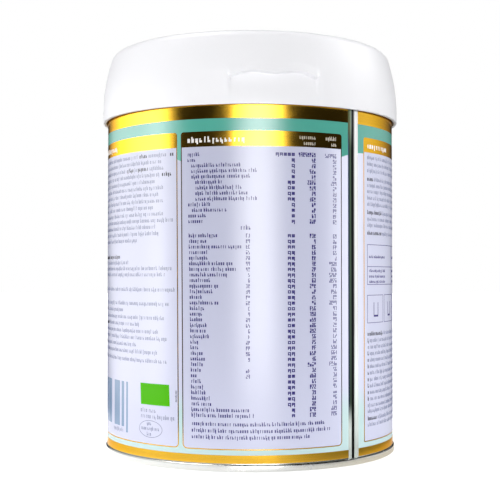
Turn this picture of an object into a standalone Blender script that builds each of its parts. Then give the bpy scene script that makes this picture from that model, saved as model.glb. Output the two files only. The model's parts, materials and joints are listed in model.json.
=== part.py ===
"""A tall powder tin with a side seam, a seamed base and a white push-fit lid.

Units are metres, +Z is up, the tin stands on z = 0 and its axis is the Z axis.
The front of the tin faces -Y. Angles round the tin are measured from the front,
towards +X, in degrees.
"""

import math

import bmesh
import bpy
from mathutils import Matrix, Vector

MM = 0.001
GAP = 0.3 * MM  # clearance between pieces that touch on the real tin
SHARP_ANGLE = 35.0

# Driving sizes of the tin
TIN_RADIUS = 63.5 * MM
TIN_TOP = 150.0 * MM
WALL_STEPS = 96

# Double seam that joins the base to the wall
RIM_RADIUS = 64.1 * MM
RIM_HEIGHT = 3.0 * MM
RIM_FOOT_OUTER = 63.5 * MM
RIM_FOOT_INNER = 62.7 * MM
RIM_BACK = 62.4 * MM
RIM_ROUND = 0.6 * MM
RIM_ROUND_STEPS = 3
BASE_STEPS = 96

# Base panel, seen from below: a deep groove inside the seam, then a raised bead
BASE_SHEET = 0.6 * MM
GROOVE_RADIUS = 62.1 * MM
GROOVE_HEIGHT = 4.4 * MM
GROOVE_WIDTH = 2.4 * MM
PANEL_HEIGHT = 3.4 * MM
BEAD_RADIUS = 46.0 * MM
BEAD_WIDTH = 3.0 * MM
BEAD_HEIGHT = 2.7 * MM
SLOPE = 1.2 * MM

# Welded side seam: a bare strip where one edge of the sheet laps the other
STRIP_START = 38.9
STRIP_CREST = 41.0
STRIP_STEP = 42.2
STRIP_LOW = 42.5
STRIP_END = 44.2
STRIP_RISE = 0.25 * MM
STRIP_LOW_SHARE = 0.35

# Lid: an upright skirt that draws in along a curve, then a round shoulder
LID_EDGE = 144.0 * MM
LID_TOP = 174.5 * MM
LID_RADIUS = 65.65 * MM
LID_CURVE_START = 148.0 * MM
LID_CURVE = 6.5  # inward draw in metres for each square metre of height
LID_SHOULDER_START = 171.0 * MM
LID_EDGE_ROUND = 0.35 * MM
SHOULDER_STEPS = 5
SKIRT_GAP = 0.8 * MM
SKIRT_WALL = LID_RADIUS - TIN_RADIUS - SKIRT_GAP
STACK_RADIUS = 55.5 * MM
STACK_SLOPE = 1.0 * MM
STACK_DEPTH = 1.2 * MM

# Thumb grip in the lid's front: a raised pad with a wavy brow over a hollow
GRIP_CENTRE = 8.6
GRIP_HALF_WIDTH = 16.6
GRIP_HEIGHT = 156.1 * MM
GRIP_HUMP = 0.9 * MM
GRIP_FALL = 2.0 * MM
GRIP_DEPTH = 1.5 * MM
GRIP_DEPTH_AT_EDGE = 0.5 * MM
GRIP_SIDE = 1.4  # degrees over which the sides fade
BROW_BEND_FULL = 1.5 * MM
BROW_BEND_END = 7.0 * MM
PAD_RISE = 0.4 * MM
PAD_TOP = 164.0 * MM
LIP_RISE = 0.4 * MM
LIP_FULL = 157.6 * MM
LIP_TOP = 160.4 * MM

# Wide shallow dish round the grip, which runs down to the lid's edge
DISH_CENTRE = 3.2
DISH_HALF_WIDTH = 27.0
DISH_FADE = 4.5
DISH_DEPTH = 0.45 * MM
DISH_FULL = 154.0 * MM
DISH_TOP = 158.5 * MM

LID_FRONT_HALF = 33.0  # degrees each side of the dish with fine steps
LID_FRONT_STEPS = 46
LID_BACK_STEPS = 52

# Slit beside the grip
SLIT_ANGLE = -12.5
SLIT_LOW = 145.8 * MM
SLIT_HIGH = 151.6 * MM
SLIT_WIDTH = 0.45 * MM
SLIT_DEPTH = 0.6 * MM

WHITE_PRINT = (0.86, 0.87, 0.93, 1.0)
TINPLATE = (0.78, 0.79, 0.78, 1.0)
WHITE_PLASTIC = (0.90, 0.90, 0.93, 1.0)


def clear_scene():
    for obj in list(bpy.data.objects):
        bpy.data.objects.remove(obj, do_unlink=True)


def make_material(name, colour, roughness, metallic):
    material = bpy.data.materials.new(name)
    material.use_nodes = True
    shader = material.node_tree.nodes["Principled BSDF"]
    shader.inputs["Base Color"].default_value = colour
    shader.inputs["Roughness"].default_value = roughness
    shader.inputs["Metallic"].default_value = metallic
    return material


def add_object(name, bm, material):
    """Turns a bmesh into a named, smooth-shaded object in the scene."""
    bmesh.ops.recalc_face_normals(bm, faces=bm.faces)
    mesh = bpy.data.meshes.new(name)
    bm.to_mesh(mesh)
    bm.free()
    mesh.materials.append(material)
    mesh.shade_smooth()
    mesh.set_sharp_from_angle(angle=math.radians(SHARP_ANGLE))
    obj = bpy.data.objects.new(name, mesh)
    bpy.context.scene.collection.objects.link(obj)
    return obj


def smooth_share(value, low, high):
    """0 below low, 1 above high, and a smooth rise between them."""
    share = min(max((value - low) / (high - low), 0.0), 1.0)
    return share * share * (3 - 2 * share)


def angle_of(point):
    """Degrees round the tin from the front, towards +X."""
    return math.degrees(math.atan2(point.x, -point.y))


def set_radius(vert, radius):
    stretch = radius / math.hypot(vert.co.x, vert.co.y)
    vert.co.x *= stretch
    vert.co.y *= stretch


def turned(profile, sectors):
    """A bmesh of the profile of (radius, height) turned round Z. Each sector is
    (start angle, end angle, steps), and the sectors meet all the way round."""
    bm = bmesh.new()
    for start, end, steps in sectors:
        turn = Matrix.Rotation(math.radians(start), 4, "Z")
        points = [bm.verts.new(turn @ Vector((0, -r, z))) for r, z in profile]
        edges = [bm.edges.new(pair) for pair in zip(points, points[1:])]
        bmesh.ops.spin(
            bm,
            geom=points + edges,
            axis=(0, 0, 1),
            cent=(0, 0, 0),
            angle=math.radians(end - start),
            steps=steps,
            use_merge=False,
        )
    bmesh.ops.remove_doubles(bm, verts=bm.verts, dist=MM / 1000)
    return bm


def arc(centre_r, centre_z, radius, start, end, steps):
    """Points of an arc in (radius, height), its angles measured from +radius."""
    angles = [math.radians(start + (end - start) * i / steps) for i in range(steps + 1)]
    return [
        (centre_r + radius * math.cos(a), centre_z + radius * math.sin(a))
        for a in angles
    ]


def base_underside():
    """The base panel's lower face, from the seam's back to the middle."""
    groove_inner = GROOVE_RADIUS - GROOVE_WIDTH
    bead_outer = BEAD_RADIUS + BEAD_WIDTH / 2
    bead_inner = BEAD_RADIUS - BEAD_WIDTH / 2
    return [
        (GROOVE_RADIUS, GROOVE_HEIGHT - SLOPE / 2),
        (GROOVE_RADIUS - SLOPE / 2, GROOVE_HEIGHT),
        (groove_inner, GROOVE_HEIGHT),
        (groove_inner - SLOPE, PANEL_HEIGHT),
        (bead_outer + SLOPE, PANEL_HEIGHT),
        (bead_outer, BEAD_HEIGHT),
        (bead_inner, BEAD_HEIGHT),
        (bead_inner - SLOPE, PANEL_HEIGHT),
        (0.0, PANEL_HEIGHT),
    ]


def base_topside(clearance):
    """The base panel's upper face, or the tin's face that lies over it."""
    top = GROOVE_HEIGHT + BASE_SHEET + clearance
    outer = GROOVE_RADIUS + BASE_SHEET + clearance
    return [(outer, RIM_HEIGHT + clearance), (outer, top), (0.0, top)]


def make_base(material):
    """Base end with its rolled double seam, which is all that touches the table."""
    round_centre = RIM_RADIUS - RIM_ROUND
    high_round = arc(
        round_centre, RIM_HEIGHT - RIM_ROUND, RIM_ROUND, 90, 0, RIM_ROUND_STEPS
    )
    low_round = arc(round_centre, RIM_ROUND, RIM_ROUND, 0, -80, RIM_ROUND_STEPS)
    foot = [(RIM_FOOT_OUTER, 0.0), (RIM_FOOT_INNER, 0.0), (RIM_BACK, RIM_ROUND)]
    profile = base_topside(0.0)[::-1] + high_round + low_round + foot
    profile += base_underside()
    bm = turned(profile, [(0.0, 360.0, BASE_STEPS)])
    return add_object("base_end", bm, material)


def strip_rise(angle):
    """Height of the lapped sheet over the wall at an angle round the tin."""
    if angle <= STRIP_STEP:
        return STRIP_RISE * smooth_share(angle, STRIP_START, STRIP_CREST)
    return STRIP_RISE * STRIP_LOW_SHARE * (1 - smooth_share(angle, STRIP_LOW, STRIP_END))


def make_wall(material):
    """The filled tin: one closed body, with the lap of its side seam in relief."""
    strip_middle = (STRIP_START + STRIP_CREST) / 2
    lap = [STRIP_START, strip_middle, STRIP_CREST, STRIP_STEP, STRIP_LOW, STRIP_END]
    sectors = [(low, high, 1) for low, high in zip(lap, lap[1:])]
    sectors.append((STRIP_END, STRIP_START + 360.0, WALL_STEPS))
    profile = [
        (0.0, TIN_TOP),
        (TIN_RADIUS, TIN_TOP),
        (TIN_RADIUS, RIM_HEIGHT + GAP),
    ]
    bm = turned(profile + base_topside(GAP), sectors)
    for vert in bm.verts:
        radius = math.hypot(vert.co.x, vert.co.y)
        if radius > TIN_RADIUS - GAP / 2:
            set_radius(vert, radius + strip_rise(angle_of(vert.co)))
    return add_object("tin_wall", bm, material)


def lid_radius(height):
    """The lid's outer radius at a height, below its shoulder."""
    over = max(height - LID_CURVE_START, 0.0)
    return LID_RADIUS - LID_CURVE * over * over


def lid_shoulder():
    """The round shoulder, tangent to the side and to the flat top."""
    over = LID_SHOULDER_START - LID_CURVE_START
    lean = math.atan(2 * LID_CURVE * over)
    radius = (LID_TOP - LID_SHOULDER_START) / (1 - math.sin(lean))
    centre_r = lid_radius(LID_SHOULDER_START) - radius * math.cos(lean)
    centre_z = LID_TOP - radius
    return arc(centre_r, centre_z, radius, 90, math.degrees(lean), SHOULDER_STEPS)


def lid_side_heights():
    """Heights of the side's rows, closest together beside the grip's brow."""
    above = [169.0, 166.5, 164.0, 162.0, 160.4, 159.0, 157.8]
    brow = [GRIP_HEIGHT / MM + offset for offset in (0.8, 0.35, -0.1, -0.5)]
    below = [154.0, 152.0, 150.0, 148.0, 146.0]
    return [height * MM for height in above + brow + below]


def brow_shift(angle):
    """How far the grip's brow lies above its middle height: two low humps that
    fall away at the ends."""
    place = (angle - GRIP_CENTRE) / GRIP_HALF_WIDTH
    place = min(max(place, -1.0), 1.0)
    humps = GRIP_HUMP * math.sin(math.pi * place) ** 2
    return humps - GRIP_FALL * place**4


def grip_share(angle):
    """1 across the grip, falling to 0 at its two sides."""
    off = abs(angle - GRIP_CENTRE)
    return 1 - smooth_share(off, GRIP_HALF_WIDTH - GRIP_SIDE, GRIP_HALF_WIDTH)


def dish_depth(angle, height):
    off = abs(angle - DISH_CENTRE)
    across = 1 - smooth_share(off, DISH_HALF_WIDTH - DISH_FADE, DISH_HALF_WIDTH)
    return DISH_DEPTH * across * (1 - smooth_share(height, DISH_FULL, DISH_TOP))


def grip_relief(angle, height):
    """Outward relief of the lid at its front: the pad is proud, the hollow sunk."""
    share = grip_share(angle)
    dish = dish_depth(angle, height)
    if height > GRIP_HEIGHT:
        pad = PAD_RISE * (1 - smooth_share(height, GRIP_HEIGHT, PAD_TOP))
        lip = LIP_RISE * (1 - smooth_share(height, LIP_FULL, LIP_TOP))
        return (pad + lip) * share - dish * (1 - share)
    more_depth = (GRIP_DEPTH - GRIP_DEPTH_AT_EDGE) * smooth_share(
        height, LID_EDGE, GRIP_HEIGHT
    )
    return -(GRIP_DEPTH_AT_EDGE + more_depth) * share - dish * (1 - share)


def shape_grip(bm):
    """Moves the lid's side to form the grip, bending its rows along the brow."""
    for vert in bm.verts:
        radius = math.hypot(vert.co.x, vert.co.y)
        height = vert.co.z
        outer = radius > lid_radius(height) - SKIRT_WALL / 2
        if height > LID_SHOULDER_START - GAP or not outer:
            continue
        angle = angle_of(vert.co)
        set_radius(vert, radius + grip_relief(angle, height))
        off = abs(height - GRIP_HEIGHT)
        bend = 1 - smooth_share(off, BROW_BEND_FULL, BROW_BEND_END)
        vert.co.z += brow_shift(angle) * bend * grip_share(angle)


def make_slit_cutter():
    """A thin upright block that cuts the slit."""
    bm = bmesh.new()
    bmesh.ops.create_cube(bm, size=1.0)
    size = (SLIT_WIDTH, 2 * SLIT_DEPTH, SLIT_HIGH - SLIT_LOW)
    bmesh.ops.scale(bm, verts=bm.verts, vec=size)
    mesh = bpy.data.meshes.new("slit_cutter")
    bm.to_mesh(mesh)
    bm.free()
    cutter = bpy.data.objects.new("slit_cutter", mesh)
    turn = Matrix.Rotation(math.radians(SLIT_ANGLE), 4, "Z")
    middle = Vector((0, -LID_RADIUS, (SLIT_HIGH + SLIT_LOW) / 2))
    cutter.matrix_world = turn @ Matrix.Translation(middle)
    cutter.hide_render = True
    cutter.display_type = "WIRE"
    bpy.context.scene.collection.objects.link(cutter)
    return cutter


def make_lid(material):
    """Push-fit lid: shut, so it is solid down to the top of the tin."""
    stack = [
        (0.0, LID_TOP - STACK_DEPTH),
        (STACK_RADIUS - STACK_SLOPE, LID_TOP - STACK_DEPTH),
        (STACK_RADIUS, LID_TOP),
    ]
    side = [(lid_radius(z), z) for z in lid_side_heights()]
    edge = [
        (LID_RADIUS, LID_EDGE + LID_EDGE_ROUND),
        (LID_RADIUS - LID_EDGE_ROUND, LID_EDGE),
    ]
    skirt = TIN_RADIUS + SKIRT_GAP
    inside = [(skirt, LID_EDGE), (skirt, TIN_TOP + GAP), (0.0, TIN_TOP + GAP)]
    front = DISH_CENTRE - LID_FRONT_HALF
    back = DISH_CENTRE + LID_FRONT_HALF
    sectors = [
        (front, back, LID_FRONT_STEPS),
        (back, front + 360.0, LID_BACK_STEPS),
    ]
    bm = turned(stack + lid_shoulder() + side + edge + inside, sectors)
    shape_grip(bm)
    lid = add_object("lid", bm, material)
    cut = lid.modifiers.new("slit", "BOOLEAN")
    cut.operation = "DIFFERENCE"
    cut.solver = "EXACT"
    cut.object = make_slit_cutter()
    return lid


def main():
    clear_scene()
    make_base(make_material("tinplate", TINPLATE, 0.25, 1.0))
    make_wall(make_material("white_print", WHITE_PRINT, 0.3, 0.0))
    make_lid(make_material("white_plastic", WHITE_PLASTIC, 0.35, 0.0))


main()
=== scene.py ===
"""A tall powder tin with a printed wall, a bare side seam and a white push-fit lid.

The print is laid out on a flat sheet: x runs along the arc round the tin from its
front towards +X, and z is the height over the table. Each sheet, line and stroke is
then wrapped round the tin's wall. Strokes are laid out in millimetres, the rest in
metres.
"""

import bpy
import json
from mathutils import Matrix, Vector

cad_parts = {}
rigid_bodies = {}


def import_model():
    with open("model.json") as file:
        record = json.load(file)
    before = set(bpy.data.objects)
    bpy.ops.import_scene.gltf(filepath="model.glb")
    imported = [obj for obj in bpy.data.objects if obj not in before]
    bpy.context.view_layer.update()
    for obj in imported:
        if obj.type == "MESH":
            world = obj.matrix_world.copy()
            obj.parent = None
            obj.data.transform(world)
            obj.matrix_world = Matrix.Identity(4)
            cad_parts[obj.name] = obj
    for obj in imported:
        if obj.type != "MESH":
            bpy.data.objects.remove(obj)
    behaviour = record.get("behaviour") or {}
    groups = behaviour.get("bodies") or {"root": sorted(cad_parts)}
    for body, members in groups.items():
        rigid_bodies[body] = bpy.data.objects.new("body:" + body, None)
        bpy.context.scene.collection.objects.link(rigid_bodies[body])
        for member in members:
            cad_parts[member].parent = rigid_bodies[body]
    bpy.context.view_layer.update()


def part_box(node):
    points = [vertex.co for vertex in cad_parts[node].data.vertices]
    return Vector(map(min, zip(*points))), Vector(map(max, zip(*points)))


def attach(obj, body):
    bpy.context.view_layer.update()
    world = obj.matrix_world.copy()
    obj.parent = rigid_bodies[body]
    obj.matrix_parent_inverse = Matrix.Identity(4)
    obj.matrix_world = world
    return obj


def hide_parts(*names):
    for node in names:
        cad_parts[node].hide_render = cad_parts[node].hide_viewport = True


bl_info = {
    "name": "Powder Tin",
    "version": (1, 0, 0),
    "blender": (4, 5, 0),
    "location": "View3D > Sidebar > Tin",
    "description": "Models and finishes a tall powder tin with a push-fit lid",
    "category": "Object",
}

import json
import math
import random
from contextlib import contextmanager

import bpy
from bpy.props import FloatProperty, FloatVectorProperty, IntProperty, PointerProperty
from mathutils import Vector

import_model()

MM = 0.001
WALL_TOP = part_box("tin_wall")[1][2]
RIM_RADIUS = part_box("base_end")[1][0]
LID_LOW, LID_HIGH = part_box("lid")


def length(name, text, default):
    return FloatProperty(name=name, description=text, default=default, unit="LENGTH", precision=5)


def steps_of(name, text, default):
    return IntProperty(name=name, description=text, default=default, min=20)


def colour(name, text, default):
    return FloatVectorProperty(
        name=name, description=text, default=default, subtype="COLOR", min=0.0, max=1.0
    )


class TinSizes(bpy.types.PropertyGroup):
    """Sizes of the wall and the base."""

    radius: length("Wall radius", "Outer radius of the wall", 63.5 * MM)
    wall_top: length("Wall top", "Height of the wall, inside the lid", WALL_TOP)
    rim_radius: length("Rim radius", "Radius of the base seam", RIM_RADIUS)
    rim_height: length("Rim height", "Height of the base seam", 3.0 * MM)
    strip_start: length("Strip start", "Arc where the bare strip starts", 42.85 * MM)
    strip_end: length("Strip end", "Arc where the bare strip ends", 48.7 * MM)
    strip_rise: length("Strip rise", "Height of the lap of the sheet", 0.25 * MM)


class PrintSizes(bpy.types.PropertyGroup):
    """Sizes of the print's bands, panels and rows."""

    gold_low: length("Gold band", "Height where the top gold band starts", 138.65 * MM)
    mint_low: length("Mint band", "Height where the mint band starts", 133.65 * MM)
    foot_low: length("Foot band low", "Lower edge of the foot's gold band", 2.9 * MM)
    foot_high: length("Foot band high", "Upper edge of the foot's gold band", 6.6 * MM)
    panel_low: length("Panel foot", "Lower edge of the panels", 8.6 * MM)
    header_low: length("Header edge", "Lower edge of the gold headers", 127.6 * MM)
    line: length("Line", "Width of the gold line round a panel", 0.42 * MM)
    corner: length("Corner", "Radius of the panels' corners", 1.9 * MM)
    stroke: length("Stroke", "Width of a printed stroke", 0.26 * MM)


class LidSizes(bpy.types.PropertyGroup):
    """Sizes of the lid."""

    edge: length("Lid edge", "Height of the lid's lower edge", LID_LOW[2])
    top: length("Lid top", "Height of the lid's top", LID_HIGH[2])
    radius: length("Lid radius", "Radius of the lid at its edge", 65.65 * MM)
    skirt: length("Skirt", "Inner radius of the lid's skirt", 64.3 * MM)
    grip_height: length("Grip height", "Height of the grip's brow", 156.1 * MM)
    front_steps: steps_of("Front steps", "Steps across the grip", 200)
    back_steps: steps_of("Back steps", "Steps round the rest", 200)


class TinColours(bpy.types.PropertyGroup):
    """Colours of the print, the metal and the plastic."""

    white: colour("White print", "Ground of the print", (0.57, 0.585, 0.74))
    pale: colour("Pale mint", "Tint at the foot of the print", (0.49, 0.66, 0.66))
    mint: colour("Mint", "Mint band and the gaps below it", (0.095, 0.445, 0.355))
    gold: colour("Gold", "Metallic gold ink", (0.86, 0.49, 0.034))
    navy: colour("Navy", "Ink of the table", (0.04, 0.03, 0.19))
    grey: colour("Grey", "Ink of the side panels", (0.20, 0.22, 0.34))
    green: colour("Green", "Plain green mark", (0.075, 0.44, 0.002))
    dark: colour("Dark", "Ink of the bold leads", (0.014, 0.014, 0.04))
    mist: colour("Mist", "Ink of the pale bars", (0.17, 0.27, 0.42))
    tinplate: colour("Tinplate", "Bare metal", (0.80, 0.81, 0.79))
    plastic: colour("Plastic", "Lid", (0.92, 0.92, 0.945))


def sizes():
    return bpy.context.scene.tin_sizes


def print_sizes():
    return bpy.context.scene.tin_print


def lid_sizes():
    return bpy.context.scene.tin_lid


def colours():
    return bpy.context.scene.tin_colours


# Nodes


def is_socket(value):
    return isinstance(value, bpy.types.NodeSocket)


def add_node(tree, kind, values=None, **settings):
    """A node with its settings, and its inputs set to values or linked to sockets."""
    node = tree.nodes.new(kind)
    for key, value in settings.items():
        setattr(node, key, value)
    for key, value in (values or {}).items():
        if is_socket(value):
            tree.links.new(value, node.inputs[key])
        else:
            node.inputs[key].default_value = value
    return node


def feed(node, **values):
    """Links values to a node's inputs, whose names have _ for a space."""
    for key, value in values.items():
        node.id_data.links.new(value, node.inputs[key.replace("_", " ")])


def maths(tree, operation, first, second=0.0, third=0.0):
    values = {0: first, 1: second, 2: third}
    return add_node(tree, "ShaderNodeMath", values, operation=operation).outputs[0]


def soft_step(tree, value, low, high):
    """A smooth rise from 0 at low to 1 at high."""
    values = {"Value": value, "From Min": low, "From Max": high}
    node = add_node(tree, "ShaderNodeMapRange", values, interpolation_type="SMOOTHSTEP")
    return node.outputs["Result"]


def mix_colour(tree, share, first, second):
    """A mix of two colours, each of which is a socket or three numbers."""
    first, second = (tint if is_socket(tint) else (*tint, 1.0) for tint in (first, second))
    values = {0: share, 6: first, 7: second}
    return add_node(tree, "ShaderNodeMix", values, data_type="RGBA").outputs[2]


def noise(tree, place, scale, detail, roughness=0.5):
    values = {"Vector": place, "Scale": scale, "Detail": detail, "Roughness": roughness}
    return add_node(tree, "ShaderNodeTexNoise", values).outputs["Fac"]


def object_place(tree):
    return add_node(tree, "ShaderNodeTexCoord").outputs["Object"]


def split_place(tree, place):
    return add_node(tree, "ShaderNodeSeparateXYZ", {0: place}).outputs


def new_group(name, entry, outputs):
    """A shader node group with one number, (name, default), in and named numbers out.
    Returns the group, its input socket and its output node."""
    group = bpy.data.node_groups.new(name, "ShaderNodeTree")
    label, default = entry
    socket = group.interface.new_socket(label, in_out="INPUT", socket_type="NodeSocketFloat")
    socket.default_value = default
    for label in outputs:
        group.interface.new_socket(label, in_out="OUTPUT", socket_type="NodeSocketFloat")
    inside = group.nodes.new("NodeGroupInput")
    return group, inside.outputs[0], group.nodes.new("NodeGroupOutput")


def make_sheet_group():
    """Rolled sheet: fine rolling streaks round the tin, a slow waviness and smudges."""
    outputs = ("Height", "Streak", "Smudge")
    group, smudges, leave = new_group("Rolled sheet", ("Smudges", 1.0), outputs)
    place = object_place(group)
    scale = {"Vector": place, "Scale": (14.0, 14.0, 2600.0)}
    flat = add_node(group, "ShaderNodeMapping", scale).outputs[0]
    streak = maths(group, "SUBTRACT", noise(group, flat, 1.0, 3.0, 0.6), 0.5)
    wave = maths(group, "SUBTRACT", noise(group, place, 34.0, 1.0), 0.5)
    smear = soft_step(group, noise(group, place, 90.0, 4.0, 0.65), 0.42, 0.75)
    height = maths(group, "ADD", maths(group, "MULTIPLY", streak, 0.02), wave)
    feed(leave, Height=height, Streak=streak, Smudge=maths(group, "MULTIPLY", smear, smudges))


def make_grain_group():
    """Print grain: the tiny uneven dots of a printed ink."""
    group, strength, leave = new_group("Print grain", ("Strength", 0.1), ("Tone",))
    dots = maths(group, "SUBTRACT", noise(group, object_place(group), 2400.0, 2.0), 0.5)
    feed(leave, Tone=maths(group, "MULTIPLY_ADD", dots, strength, 1.0))


def use_group(tree, name, value):
    node = tree.nodes.new("ShaderNodeGroup")
    node.node_tree = bpy.data.node_groups[name]
    node.inputs[0].default_value = value
    return node.outputs


VARNISH_IOR = 1.58
THICK_VARNISH_IOR = 1.78
WAVE = 0.08 * MM
SKIN = 0.12 * MM


def new_material(name, metallic=0.0, specular=0.0, coat=0.0, varnish=VARNISH_IOR):
    """A Principled material, its fixed numbers set on the shader's own sockets."""
    made = bpy.data.materials.new(name)
    made.use_nodes = True
    shader = made.node_tree.nodes["Principled BSDF"]
    fixed = {"Metallic": metallic, "Specular IOR Level": specular, "Coat Weight": coat}
    fixed.update({"Coat Roughness": 0.22, "Coat IOR": varnish})
    for key, value in fixed.items():
        shader.inputs[key].default_value = value
    return made, made.node_tree, shader


def toned(tree, tint, tone):
    """A colour multiplied by a tone that changes over the surface."""
    values = {0: tint, "Scale": tone}
    return add_node(tree, "ShaderNodeVectorMath", values, operation="SCALE").outputs[0]


def add_bump(tree, shader, height, distance):
    values = {"Height": height, "Strength": 1.0, "Distance": distance}
    normal = add_node(tree, "ShaderNodeBump", values).outputs["Normal"]
    feed(shader, Normal=normal, Coat_Normal=normal)


def roll_sheet(tree, shader, roughness, smudge=0.05):
    """What all of the sheet shares: smudges in its gloss and its own waviness. Returns
    the streaks of its rolling."""
    sheet = use_group(tree, "Rolled sheet", smudge)
    feed(shader, Roughness=maths(tree, "ADD", sheet["Smudge"], roughness))
    add_bump(tree, shader, sheet["Height"], WAVE)
    return sheet["Streak"]


def finish_ink(tree, shader, tint, grain, roughness):
    """An ink's grain in its tone, on the rolled sheet."""
    dots = use_group(tree, "Print grain", grain)["Tone"]
    feed(shader, Base_Color=toned(tree, tint, dots))
    roll_sheet(tree, shader, roughness)


WHITE_GRAIN = 0.05
WHITE_ROUGHNESS = 0.3
TINT_HIGH = 37.0 * MM
TINT_LOW = 23.0 * MM
TINT_RAGGED = 6.0 * MM


def make_white_print():
    """White print, which turns a pale mint towards the foot."""
    made, tree, shader = new_material("White print", coat=1.0)
    place = object_place(tree)
    height = split_place(tree, place)[2]
    ragged = maths(tree, "MULTIPLY_ADD", noise(tree, place, 60.0, 2.0), TINT_RAGGED, height)
    share = soft_step(tree, ragged, TINT_HIGH, TINT_LOW)
    tint = mix_colour(tree, share, colours().white, colours().pale)
    finish_ink(tree, shader, tint, WHITE_GRAIN, WHITE_ROUGHNESS)
    return made


def make_ink(name, tint, grain=0.25, coat=1.0, varnish=VARNISH_IOR, roughness=0.32):
    """A plain printed ink under the varnish."""
    made, tree, shader = new_material(name, coat=coat, varnish=varnish)
    finish_ink(tree, shader, tint, grain, roughness)
    return made


def make_gold_ink():
    """Gold: tinplate seen through a clear yellow ink, with its rolling streaks."""
    made, tree, shader = new_material("Gold ink", metallic=1.0, specular=0.5, coat=0.24)
    shader.inputs["Specular Tint"].default_value = (0.90, 0.62, 0.25, 1.0)
    streak = maths(tree, "MULTIPLY_ADD", roll_sheet(tree, shader, 0.15, 0.06), 0.35, 1.0)
    tone = maths(tree, "MULTIPLY", streak, use_group(tree, "Print grain", 0.12)["Tone"])
    feed(shader, Base_Color=toned(tree, colours().gold, tone))
    return made


def make_tinplate():
    """Bare tinplate with streaks in its gloss."""
    made, tree, shader = new_material("Bare tinplate", metallic=1.0, specular=0.5)
    tone = maths(tree, "MULTIPLY_ADD", roll_sheet(tree, shader, 0.2, 0.12), 0.3, 1.0)
    feed(shader, Base_Color=toned(tree, colours().tinplate, tone))
    return made


# The pale colour is a painted reflection of the floor, the black one a painted shadow at the lap's
# step, and the third the bare metal's own colour.
PAINTED_FLOOR_REFLECTION, LAP_SHADOW, BARE = (0.60, 0.66, 0.62), (0.002, 0.002, 0.0025), (0.42, 0.42, 0.415)
# The seam's colours as (share of its width where each starts, colour), for its
# upper end and for the rest. The dark olive, teal and near-black strips left of the
# black line are painted reflections of a dark room, and the black line is a painted
# shadow at the lap's step.
SEAM_HIGH = (
    (0.0, (0.04, 0.045, 0.02)),
    (0.075, (0.05, 0.06, 0.03)),
    (0.17, (0.14, 0.17, 0.12)),
    (0.265, (0.05, 0.06, 0.055)),
    (0.37, LAP_SHADOW),
    (0.525, BARE),
)
SEAM_LOW = (
    (0.0, (0.022, 0.03, 0.063)),
    (0.075, (0.016, 0.029, 0.025)),
    (0.17, (0.042, 0.061, 0.04)),
    (0.265, (0.003, 0.005, 0.0045)),
    (0.34, LAP_SHADOW),
    (0.525, BARE),
)
SEAM_BLEND = 0.03
SEAM_CHANGE = (139.0 * MM, 127.0 * MM)  # where the upper end's colours give way
# Where the seam takes a painted reflection of the pale floor towards its foot:
# heights in mm, then shares of its width, each from where it starts to where it is full.
SEAM_FLOOR_REFLECTION_FADES = ((26.0, 14.0, 0.29, 0.26), (60.0, 24.0, 0.51, 0.54))


def make_ramp(tree, value, stops):
    """Colours that follow each other with a short blend between them."""
    node = add_node(tree, "ShaderNodeValToRGB", {"Fac": value})
    points = [stops[0]]
    for (_, before), (start, after) in zip(stops, stops[1:]):
        points += [(start - SEAM_BLEND / 2, before), (start + SEAM_BLEND / 2, after)]
    ramp = node.color_ramp.elements
    ramp.remove(ramp[1])
    for index, (place, tint) in enumerate(points):
        stop = ramp[0] if index == 0 else ramp.new(place)
        stop.position = place
        stop.color = (*tint, 1.0)
    return node.outputs["Color"]


def make_seam_metal():
    """Bare tinplate of the side seam, with painted reflections of a dark room in its dark
    strips, a painted shadow in the black line at the lap's step, and a painted
    reflection of the floor that turns it paler towards its foot."""
    made, tree, shader = new_material("Side seam", metallic=0.5)
    size = sizes()
    across, along, height = split_place(tree, object_place(tree))
    turn = maths(tree, "ARCTAN2", across, maths(tree, "MULTIPLY", along, -1.0))
    share = maths(tree, "SUBTRACT", turn, size.strip_start / size.radius)
    width = (size.strip_end - size.strip_start) / size.radius
    share = maths(tree, "DIVIDE", share, width)
    down = soft_step(tree, height, *SEAM_CHANGE)
    upper = make_ramp(tree, share, SEAM_HIGH)
    tint = mix_colour(tree, down, upper, make_ramp(tree, share, SEAM_LOW))
    # Each fade lays the painted reflection of the floor over the seam near its foot.
    for high, low, before, after in SEAM_FLOOR_REFLECTION_FADES:
        near_foot = soft_step(tree, height, high * MM, low * MM)
        beside = soft_step(tree, share, before, after)
        floor_reflection_share = maths(tree, "MULTIPLY", near_foot, beside)
        tint = mix_colour(tree, floor_reflection_share, tint, PAINTED_FLOOR_REFLECTION)
    feed(shader, Base_Color=tint)
    roll_sheet(tree, shader, 0.22)
    return made


def make_plastic():
    """Moulded white plastic: satin, with a fine skin and faint sink marks."""
    made, tree, shader = new_material("Lid plastic", specular=0.45)
    place = object_place(tree)
    skin = noise(tree, place, 900.0, 3.0)
    sink = noise(tree, place, 28.0, 2.0)
    tone = maths(tree, "MULTIPLY_ADD", sink, 0.05, 0.975)
    gloss = maths(tree, "MULTIPLY_ADD", skin, 0.1, 0.37)
    feed(shader, Base_Color=toned(tree, colours().plastic, tone), Roughness=gloss)
    add_bump(tree, shader, maths(tree, "MULTIPLY_ADD", skin, 0.04, sink), SKIN)
    return made


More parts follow.
